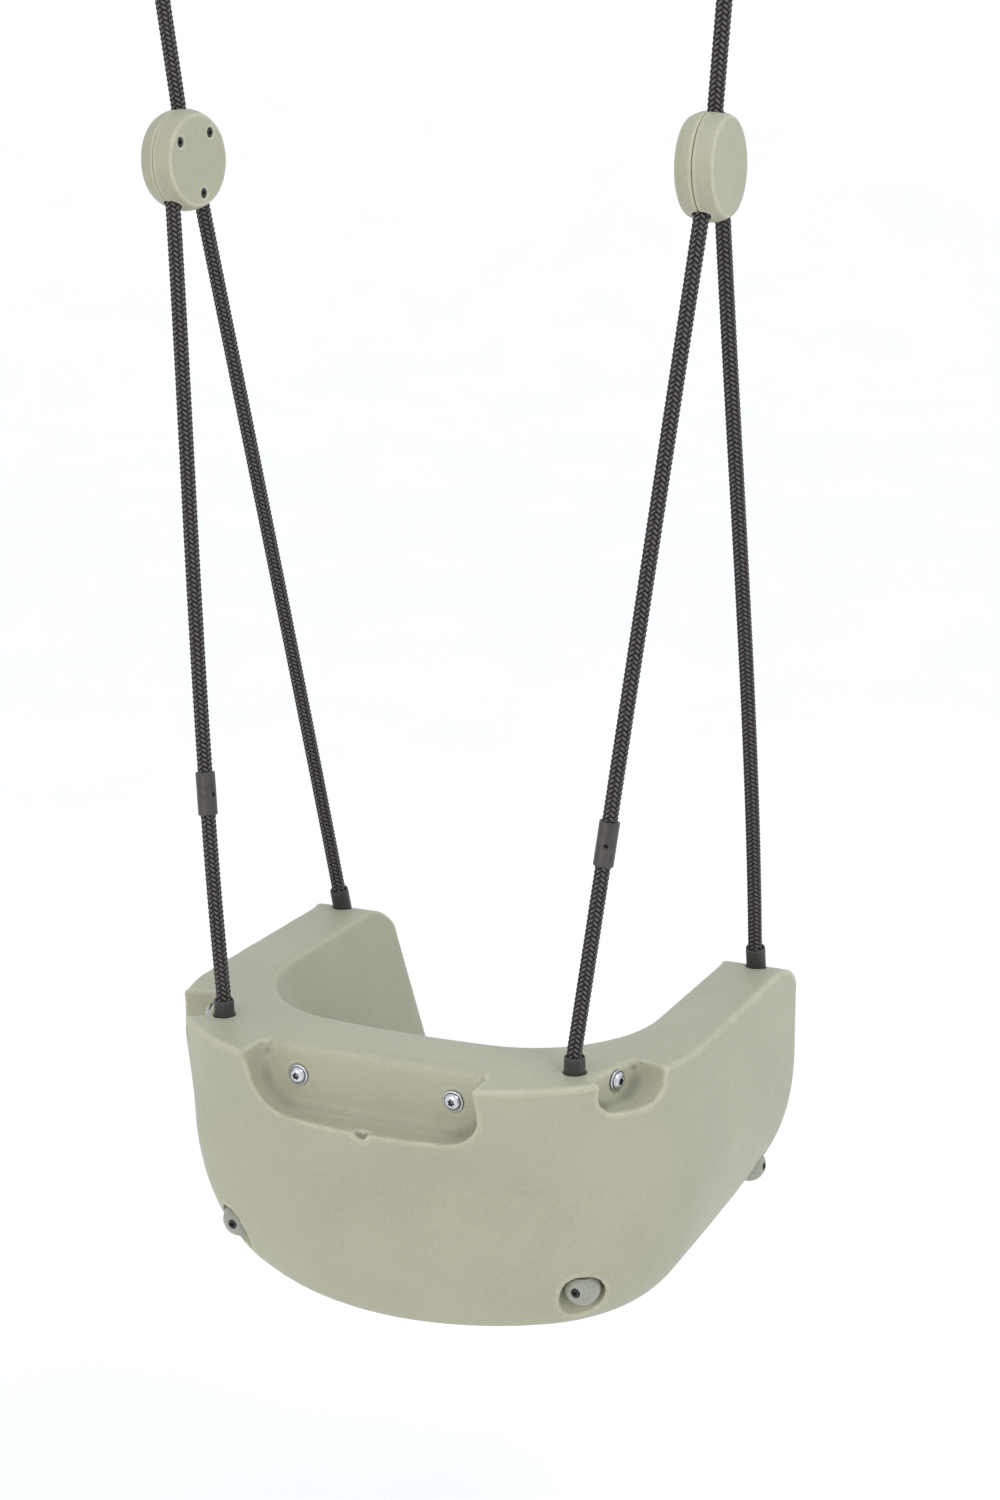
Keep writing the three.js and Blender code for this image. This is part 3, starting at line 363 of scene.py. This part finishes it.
def branch_route(side, end):
    """One branch rope's centreline in metres, from its socket in the disc to its socket in the stopper."""

    def mirrored(v):
        return Vector((side * v.x, v.y, v.z))

    leave = mirrored(DISC_AT) + Vector((0, ROPE_EXIT_Y[end], -ROPE_EXIT_BELOW))
    entry = mirrored(ENTRY[end]) + SEAT_AT
    upper, lower = STRAIGHT_Z[end]
    upright = end == "back"
    start = entry + Vector((0, 0, upper)) if upright else entry
    climb = (leave - start).normalized()
    axis = Vector((0, 0, 1)) if upright else climb
    top = leave + climb * INTO_DISC
    bends = [entry + axis * (z / axis.z) for z in (upper, lower)]
    centre = mirrored(STOPPER[end]) + SEAT_AT
    tail = centre - (bends[1] - centre).normalized() * PAST_STOPPER_CENTRE
    bow = mirrored(ROPE_BOW[end])
    thirds = [top.lerp(bends[0], share / 3) for share in (1, 2)]
    free = bezier([top, thirds[0], thirds[1] + bow, bends[0]], FREE_STEPS)
    return hung(np.vstack([free, rounded_route([*bends, tail], BRANCH_BEND_REACH)]))


def main_route(side):
    """A main rope's centreline in metres, from its eye down into the disc."""
    pivot = Vector((side * PIVOT_AT.x, 0, PIVOT_AT.z))
    inside_disc = Vector((side * MAIN_ROPE_X, DISC_AT.y, DISC_AT.z))
    upper = [pivot + Vector((0, 0, z)) for z in (MAIN_ROPE_TOP, MAIN_ROPE_LEANS)]
    lower = [inside_disc + Vector((0, 0, z)) for z in (DISC_ENTRY_ABOVE, DISC_END_ABOVE)]
    return hung(rounded_route([*upper, *lower], MAIN_BEND_REACH))


def resampled(route, step):
    """The route at even steps, with a frame of two crosswise directions carried along it."""
    lengths = np.append(0, np.cumsum(np.linalg.norm(np.diff(route, axis=0), axis=1)))
    count = int(lengths[-1] / step) + 2
    along = np.linspace(0, lengths[-1], count)
    points = np.stack([np.interp(along, lengths, route[:, i]) for i in range(3)], axis=1)
    tangents = np.gradient(points, axis=0)
    tangents /= np.linalg.norm(tangents, axis=1, keepdims=True)
    first = np.empty_like(points)
    crosswise = np.cross(tangents[0], (1, 0, 0))
    first[0] = crosswise / np.linalg.norm(crosswise)
    for i in range(1, count):
        carried = first[i - 1] - tangents[i] * (first[i - 1] @ tangents[i])
        first[i] = carried / np.linalg.norm(carried)
    return along, points, first, np.cross(tangents, first)


def braid(name, route):
    """A round rope braided from strands that pass over two and under two, about a plain core."""
    along, centre, side_a, side_b = resampled(route, BRAID_STEP * MM)
    crossings = 2 * STRANDS * along / (BRAID_PITCH * MM)
    ring = (np.arange(STRAND_SIDES) + 0.5) * math.tau / STRAND_SIDES
    wide, thick = STRAND_HALF_WIDTH * MM, STRAND_HALF_THICKNESS * MM
    points, faces, uvs, crowns = [], [], [], []

    def add_tube(rings, v, crown_highlight):
        first = sum(len(p) for p in points)
        columns = rings.shape[1]
        points.append(rings.reshape(-1, 3))
        faces.append(grid_faces(len(rings), columns, first))
        u = np.tile(np.arange(columns) / columns, len(rings))
        uvs.append(np.stack([u, np.repeat(v, columns)], axis=1))
        crowns.append(crown_highlight.ravel())

    for way in (1, -1):  # the two ways that strands wind
        for strand in range(STRANDS):
            angle = math.tau * (strand / STRANDS + way * along / (BRAID_PITCH * MM))
            over_two_under_two = math.pi / 2 * (2 * strand + way * crossings - 0.5)
            lift = way * np.cos(over_two_under_two)
            out = np.cos(angle)[:, None] * side_a + np.sin(angle)[:, None] * side_b
            line = centre + out * ((BRAID_RADIUS + BRAID_LIFT * lift) * MM)[:, None]
            run = np.gradient(line, axis=0)
            across = np.cross(run, out)
            across /= np.linalg.norm(across, axis=1, keepdims=True)
            section = (np.cos(ring)[None, :, None] * across[:, None] * wide
                       + np.sin(ring)[None, :, None] * out[:, None] * thick)
            # Where the painted highlight goes: the outer face of each strand where it rides over.
            crown_highlight = np.clip(CROWN_HIGHLIGHT_GAIN * lift, 0, 1)[:, None] * np.clip(np.sin(ring), 0, 1)[None]
            add_tube(line[:, None] + section, (along + strand * STRAND_SHIFT) / MM, crown_highlight)
    core = (np.arange(CORE_SIDES) * math.tau / CORE_SIDES)[None, :, None]
    kept = slice(None, None, CORE_STRIDE)
    section = np.cos(core) * side_a[kept, None] + np.sin(core) * side_b[kept, None]
    add_tube(centre[kept, None] + section * CORE_RADIUS * MM, along[kept] / MM, np.zeros(section.shape[:2]))
    return add_mesh(name, np.vstack(points), np.vstack(faces).tolist(), "braid", {CROWN_HIGHLIGHT: np.hstack(crowns)},
                    np.vstack(uvs))


for name, side in SIDES.items():
    for end in ENDS:
        route = branch_route(side, end)
        rope = braid(f"{name}_{end}_braid", route)
        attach(rope, "seat")
        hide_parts(f"{name}_{end}_rope")
    route = main_route(side)
    rope = braid(f"{name}_main_braid", route)
    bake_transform(rope)
    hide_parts(f"{name}_main_rope", f"{name}_main_rope_end")


# ---- moulded pieces ----
# Each is remeshed in voxels, then smoothed in passes, from none at near to full at far from the edges that
# turn by more than limit degrees. Lengths are in millimetres.
SEAT_MOULDING = {"voxel": 1.5, "near": 1.5, "far": 6, "passes": 20, "limit": 35}
DISC_MOULDING = {"voxel": 0.8, "near": 0.6, "far": 3, "passes": 12, "limit": 20}
BALL_MOULDING = {"voxel": 0.6, "near": 0.5, "far": 2, "passes": 12, "limit": 40}
TUBE_MOULDING = {"voxel": 0.5, "near": 0.4, "far": 1.5, "passes": 8, "limit": 35}
EDGE_PASSES, EDGE_SHARE = 2, 0.6  # the edges themselves are eased by this share in the first passes
# Strengths of the painted highlight on edges and the painted shade in corners.
EDGE_HIGHLIGHT, CORNER_SHADE = 0.4, 0.75
LEAST_RELIEF = 0.5  # gentler bends than this share of a sharp one are left plain
SHARP_RELIEF = 0.025  # the height over its neighbours, per square of their distance, that counts as sharp
RELIEF_SPREAD = 2
# A painted highlight along a thin mould line beside the outer wall's edges.
MOULD_LINE_HIGHLIGHT = {"from_edge": 4.5, "half_width": 0.9, "least_outward": 0.6}
WELD = 1e-5  # metres
SLIVER = 3e-8  # in square metres: a face too thin for its normal to mean much
OFF_SURFACE = 0.3
SIX_WAYS = [Vector(way) for way in ((1, 0, 0), (-1, 0, 0), (0, 1, 0), (0, -1, 0), (0, 0, 1), (0, 0, -1))]


def remeshed(source, voxel):
    """A copy of an object's mesh, made anew of even faces one voxel across."""
    work = placed("work", source.data.copy())
    remesh = work.modifiers.new("remesh", "REMESH")
    remesh.mode, remesh.voxel_size = "VOXEL", voxel
    mesh = bpy.data.meshes.new_from_object(work.evaluated_get(bpy.context.evaluated_depsgraph_get()))
    bpy.data.objects.remove(work)
    return mesh


def sharp_samples(mesh, limit, spacing):
    """Points along every outer edge of a CAD mesh that turns by more than limit degrees."""
    welded = bmesh.new()
    welded.from_mesh(mesh)
    bmesh.ops.remove_doubles(welded, verts=welded.verts, dist=WELD)
    surface = BVHTree.FromBMesh(welded)
    samples = []
    for edge in welded.edges:
        if len(edge.link_faces) != 2 or edge.calc_face_angle() < math.radians(limit):
            continue
        if min(face.calc_area() for face in edge.link_faces) < SLIVER:
            continue
        a, b = (v.co for v in edge.verts)
        out = (edge.link_faces[0].normal + edge.link_faces[1].normal).normalized()
        start = (a + b) / 2 + out * OFF_SURFACE * MM
        if all(surface.ray_cast(start, way)[0] for way in SIX_WAYS):
            continue  # inside a hollow
        steps = max(1, int((b - a).length / spacing))
        samples += [a.lerp(b, i / steps) for i in range(steps + 1)]
    welded.free()
    return samples


def distance_to(samples, mesh):
    """How far each of the mesh's points lies from the nearest sample."""
    tree = kdtree.KDTree(len(samples))
    for i, sample in enumerate(samples):
        tree.insert(sample, i)
    tree.balance()
    return np.array([tree.find(v.co)[2] for v in mesh.vertices])


def vectors(collection, attribute):
    """An attribute of three numbers of every item, as rows."""
    values = np.empty(len(collection) * 3)
    collection.foreach_get(attribute, values)
    return values.reshape(-1, 3)


class Smoother:
    """Averages values over each point's neighbours along a mesh's edges."""

    def __init__(self, mesh):
        ends = np.empty(len(mesh.edges) * 2, np.int32)
        mesh.edges.foreach_get("vertices", ends)
        self.count = len(mesh.vertices)
        self.here = np.concatenate([ends[0::2], ends[1::2]])
        self.there = np.concatenate([ends[1::2], ends[0::2]])
        self.neighbours = np.bincount(self.here, minlength=self.count)

    def mean(self, values):
        sums = [np.bincount(self.here, column[self.there], self.count) for column in values.T]
        return np.stack(sums, axis=1) / self.neighbours[:, None]


def smooth_facets(mesh, smoother, distance, near, far, passes):
    """Smooths the mesh everywhere but near the sharp edges, which are only eased."""
    points = vectors(mesh.vertices, "co")
    weight = np.clip((distance - near) / (far - near), 0, 1)[:, None]
    for i in range(passes):
        share = weight if i >= EDGE_PASSES else np.maximum(weight, EDGE_SHARE)
        points = points + (smoother.mean(points) - points) * share
    mesh.vertices.foreach_set("co", points.ravel())
    mesh.update()


def relief(mesh, smoother, voxel):
    """How far each point stands out of its surroundings, from -1 in a corner to 1 on an edge."""
    points = vectors(mesh.vertices, "co")
    height = np.einsum("ij,ij->i", points - smoother.mean(points), vectors(mesh.vertices, "normal"))[:, None]
    for _ in range(RELIEF_SPREAD):
        height = smoother.mean(height)
    share = height[:, 0] / (SHARP_RELIEF * voxel**2 / MM)
    return np.sign(share) * np.clip((np.abs(share) - LEAST_RELIEF) / (1 - LEAST_RELIEF), 0, 1)


def mould_line_highlight(mesh, distance):
    """How far each point lies on the thin line that runs beside the edges of the outer wall, which is painted
    pale as a highlight along the mould line.
    """
    outward = vectors(mesh.vertices, "co") * (1, 1, 0)
    outward /= np.linalg.norm(outward, axis=1, keepdims=True)
    facing = np.einsum("ij,ij->i", outward, vectors(mesh.vertices, "normal")) > MOULD_LINE_HIGHLIGHT["least_outward"]
    off_line = abs(distance - MOULD_LINE_HIGHLIGHT["from_edge"] * MM)
    return np.clip(1 - off_line / (MOULD_LINE_HIGHLIGHT["half_width"] * MM), 0, 1) * facing


def moulded(node, name, voxel, near, far, passes, limit):
    """A piece over a CAD node with rounded edges and no facets, with painted highlights on its edges and
    painted shade in its corners.
    """
    source = frame["nodes"][node]
    mesh = remeshed(source, voxel * MM)
    distance = distance_to(sharp_samples(source.data, limit, voxel * MM), mesh)
    smoother = Smoother(mesh)
    smooth_facets(mesh, smoother, distance, near * MM, far * MM, passes)
    shade = relief(mesh, smoother, voxel * MM)
    # Painted highlights on edges and painted shade in corners.
    shade = np.where(shade > 0, shade * EDGE_HIGHLIGHT, shade * CORNER_SHADE)
    # On the seat, also a painted highlight along the mould line beside the outer wall's edges.
    if node == "seat_shell":
        shade += mould_line_highlight(mesh, distance) * EDGE_HIGHLIGHT
    store(mesh, PAINTED_RELIEF_LIGHT, shade)
    mesh.materials.clear()
    mesh.materials.append(LOOKS[SLOT_OF[node]])
    mesh.shade_smooth()
    piece = placed(name, mesh)
    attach(piece, source["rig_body"])
    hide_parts(node)


moulded("seat_shell", "seat_skin", **SEAT_MOULDING)
for name in SIDES:
    for half in ("inner", "outer"):
        moulded(f"{name}_disc_{half}_half", f"{name}_disc_{half}_cover", **DISC_MOULDING)
    for end in ENDS:
        moulded(f"{name}_{end}_stopper", f"{name}_{end}_ball", **BALL_MOULDING)
        moulded(f"{name}_{end}_ferrule", f"{name}_{end}_collar", **TUBE_MOULDING)
    moulded(f"{name}_back_rope_sleeve", f"{name}_sleeve_tube", **TUBE_MOULDING)


# ---- screws ----
# Profiles are of (radius, depth below the top, depth of the torx lobes as a share of the radius, painted
# shade).
# Lengths are in millimetres.
TORX_LOBES = 6
RECESS_BOLT = [
    (0, 4.0, 0, 0.6), (2.0, 4.0, 0.16, 0.9), (2.6, 3.7, 0.16, 0.9), (2.8, 1.6, 0.16, 0.5),
    (3.1, 1.4, 0.12, 0), (4.2, 1.45, 0, 0), (5.6, 2.0, 0, 0), (6.8, 2.9, 0, 0), (7.4, 3.9, 0, 0.2),
    (7.5, 4.5, 0, 0.9), (7.9, 4.6, 0, 0.9), (8.2, 4.5, 0, 0), (9.0, 4.8, 0, 0), (9.3, 5.2, 0, 0.4),
    (9.3, 6.2, 0, 0.9), (4, 6.2, 0, 0.5), (4, 21, 0, 0), (0, 21, 0, 0),
]
SMALL_SCREW = [
    (0, 1.6, 0, 1), (1.2, 1.6, 0.16, 1), (1.5, 1.4, 0.16, 1), (1.65, 0.2, 0.16, 0.8), (1.85, 0, 0.1, 0),
    (2.7, 0.1, 0, 0), (3.6, 0.5, 0, 0), (4.0, 1.1, 0, 0), (4.05, 2.4, 0, 0.5), (2, 2.4, 0, 0), (2, 8, 0, 0),
    (0, 8, 0, 0),
]
SCREW_SIDES = 60
SCREW_SHARP_DEG = 40
SIDE_BOLT_TURN = math.radians(-15.5)
DISC_YAW = {"left": math.radians(-6.3), "right": 0}


def turned_screw(node, name, profile, out):
    """A round screw with a torx socket in place of a CAD one; out is the way its head faces, seat level."""
    out = (HANG_TURN @ Vector(out)).normalized()
    right = out.orthogonal().normalized()
    up = out.cross(right)
    out, right, up = np.array(out), np.array(right), np.array(up)
    points = vectors(frame["nodes"][node].data.vertices, "co")
    middle = sum(axis * ((points @ axis).min() + (points @ axis).max()) / 2 for axis in (right, up))
    top = middle + out * (points @ out).max()
    angles = np.arange(SCREW_SIDES) * math.tau / SCREW_SIDES
    lobes = np.cos(TORX_LOBES * angles)
    rings = []
    for radius, depth, lobe, _ in profile:
        reach = radius * MM * (1 + lobe * lobes)
        rings.append(top + np.outer(reach * np.cos(angles), right) + np.outer(reach * np.sin(angles), up)
                     - depth * MM * out)
    # How much painted shade each ring of the profile gets.
    groove_shade = np.repeat([row[3] for row in profile], SCREW_SIDES)
    faces = grid_faces(len(rings), SCREW_SIDES).tolist()
    screw = add_mesh(name, np.vstack(rings), faces, SLOT_OF[node], {GROOVE: groove_shade})
    screw.data.set_sharp_from_angle(angle=math.radians(SCREW_SHARP_DEG))
    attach(screw, frame["nodes"][node]["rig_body"])
    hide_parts(node)


for name, side in SIDES.items():
    sideways = (side * math.cos(SIDE_BOLT_TURN), math.sin(SIDE_BOLT_TURN), 0)
    from_disc = (-side * math.cos(DISC_YAW[name]), -side * math.sin(DISC_YAW[name]), 0)
    turned_screw(f"back_recess_bolt_{name}", f"back_torx_bolt_{name}", RECESS_BOLT, (0, -1, 0))
    turned_screw(f"side_recess_bolt_{name}", f"side_torx_bolt_{name}", RECESS_BOLT, sideways)
    turned_screw(f"{name}_back_stopper_screw", f"{name}_back_ball_screw", SMALL_SCREW, (0, -1, 0))
    turned_screw(f"{name}_front_stopper_screw", f"{name}_front_ball_screw", SMALL_SCREW, (side, 0, 0))
    for i in (1, 2, 3):
        turned_screw(f"{name}_disc_screw_{i}", f"{name}_cover_screw_{i}", SMALL_SCREW, from_disc)


# ---- CAD nodes that stay ----
EASED_EDGE = 0.4 * MM
EASED_FROM_DEG = 35
for node, obj in frame["nodes"].items():
    obj.data.materials.clear()
    obj.data.materials.append(LOOKS[SLOT_OF[node]])
    if not obj.hide_render and obj.data.polygons:
        obj.data.shade_flat()
        bevel = obj.modifiers.new("eased_edges", "BEVEL")
        bevel.width, bevel.segments = EASED_EDGE, 2
        bevel.limit_method, bevel.angle_limit = "ANGLE", math.radians(EASED_FROM_DEG)


# ---- floor and light, in metres ----
FLOOR_BELOW = 0.45
FLOOR_CENTRE_RADIUS, FLOOR_RADIUS, BEND_RADIUS, WALL_HEIGHT = 0.01, 7.0, 2.0, 5.0
BEND_STEPS, CIRCLE_STEPS = 12, 96
PAPER_GLOW = 0.2
LIGHTS_AIM = Vector((0, 0, -1.0))


def add_backdrop():
    """A pale paper floor that sweeps up into a wall all round."""
    bend = [i / BEND_STEPS * math.pi / 2 for i in range(BEND_STEPS + 1)]
    profile = [(FLOOR_RADIUS + BEND_RADIUS * math.sin(a), BEND_RADIUS * (1 - math.cos(a))) for a in bend]
    profile = [(FLOOR_CENTRE_RADIUS, 0), *profile, (FLOOR_RADIUS + BEND_RADIUS, WALL_HEIGHT)]
    angles = np.arange(CIRCLE_STEPS) * math.tau / CIRCLE_STEPS
    circle = np.stack([np.cos(angles), np.sin(angles), np.zeros(CIRCLE_STEPS)], axis=1)
    floor_z = cad_box[0].z - FLOOR_BELOW
    rings = [circle * r + (0, 0, floor_z + z) for r, z in profile]
    centre = range(CIRCLE_STEPS)[::-1]
    mesh = bpy.data.meshes.new("backdrop")
    mesh.from_pydata(np.vstack(rings), [], [*grid_faces(len(rings), CIRCLE_STEPS).tolist(), centre])
    mesh.shade_smooth()
    paper = Look("pale_paper", roughness=0.9, specular=0.1, **{"Emission Strength": PAPER_GLOW})
    paper.feed(paper.shader.inputs["Emission Color"], (1, 1, 1, 1))
    tone = paper.noise(scale=3, detail=3)
    mesh.materials.append(paper.finish(paper.ramp(tone, (0.3, 0.84), (0.7, 0.86))))
    placed("backdrop", mesh)


def add_softbox(name, place, size, watts, colour):
    """A square light aimed at the swing."""
    light = placed(name, bpy.data.lights.new(name, "AREA"))
    light.data.size, light.data.energy, light.data.color = size, watts, colour
    light.location = place
    light.rotation_euler = (LIGHTS_AIM - Vector(place)).to_track_quat("-Z", "Y").to_euler()


def add_sky(colour, strength):
    """Even light from all round."""
    world = bpy.data.worlds.new("studio")
    bpy.context.scene.world = world
    world.use_nodes = True
    background = world.node_tree.nodes["Background"]
    background.inputs["Color"].default_value = (*colour, 1)
    background.inputs["Strength"].default_value = strength


add_camera()
add_backdrop()
add_sky(colour=(0.94, 1.0, 1.07), strength=0.92)
add_softbox("key", place=(-0.5, -2.4, -0.2), size=0.9, watts=6, colour=(1.0, 0.93, 0.76))
add_softbox("side", place=(1.6, -0.6, 1.3), size=1.0, watts=17, colour=(0.94, 1.0, 1.06))
bpy.context.scene.view_settings.view_transform = "Standard"
